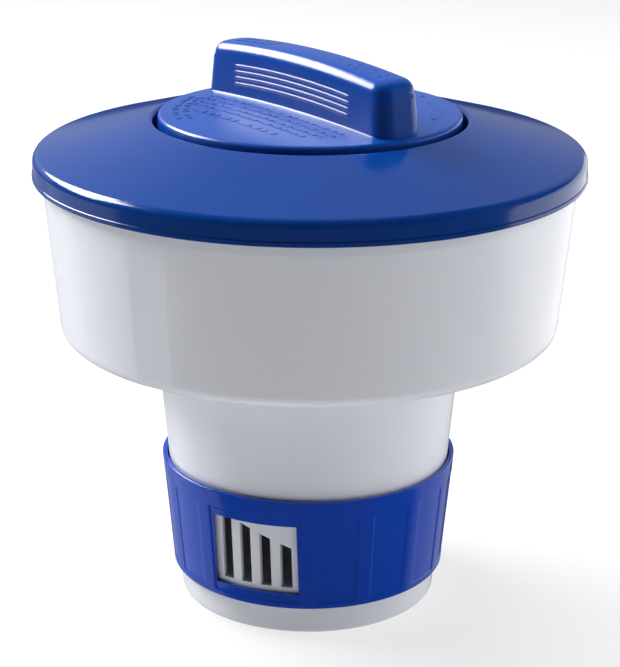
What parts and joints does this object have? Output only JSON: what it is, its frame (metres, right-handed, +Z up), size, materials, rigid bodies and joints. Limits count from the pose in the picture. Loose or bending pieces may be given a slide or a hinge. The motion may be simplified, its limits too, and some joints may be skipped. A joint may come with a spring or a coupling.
{
  "type": "floating chlorine dispenser",
  "caption": "Floating pool tablet dispenser: wide bowl float, screw cap with a grip bar, slotted lower tube and a turning control ring.",
  "frame": {"origin": "centre of the flat base, on the axis of the tube", "axes": "+Z up along the axis of the tube and bowl, -Y out of the first slot window, +X to its right seen from outside"},
  "size_m": [0.186, 0.186, 0.191],
  "materials": {
    "white_plastic": "smooth gloss injection moulding",
    "blue_plastic": "smooth gloss injection moulding",
    "seal_rubber": "matt black rubber",
    "ballast": "cast disc"
  },
  "bodies": {
    "housing": {"float_body": "white_plastic", "base_plug": "white_plastic", "tablet_tube": "white_plastic", "float_cover": "blue_plastic", "tube_head_seal": "seal_rubber", "tube_foot_seal": "seal_rubber", "rim_seal": "seal_rubber", "base_seal": "seal_rubber", "ballast_weight": "ballast"},
    "cap_carrier": {"cap_seal": "seal_rubber"},
    "cap": {"screw_cap": "blue_plastic"},
    "ring": {"control_ring": "blue_plastic"}
  },
  "joints": [
    {"name": "cap_lift", "type": "slide", "parent": "housing", "child": "cap_carrier", "axis": [0, 0, 1], "range_m": [0, 0.048]},
    {"name": "cap_turn", "type": "hinge", "parent": "cap_carrier", "child": "cap", "pos_m": [0, 0, 0.16], "axis": [0, 0, 1], "range_deg": [0, 1080]},
    {"name": "ring_turn", "type": "hinge", "parent": "housing", "child": "ring", "pos_m": [0, 0, 0.03], "axis": [0, 0, 1], "range_deg": [0, 40]}
  ],
  "couplings": [
    {"joint": "cap_turn", "follows": "cap_lift", "rad_per_m": 392.7}
  ]
}
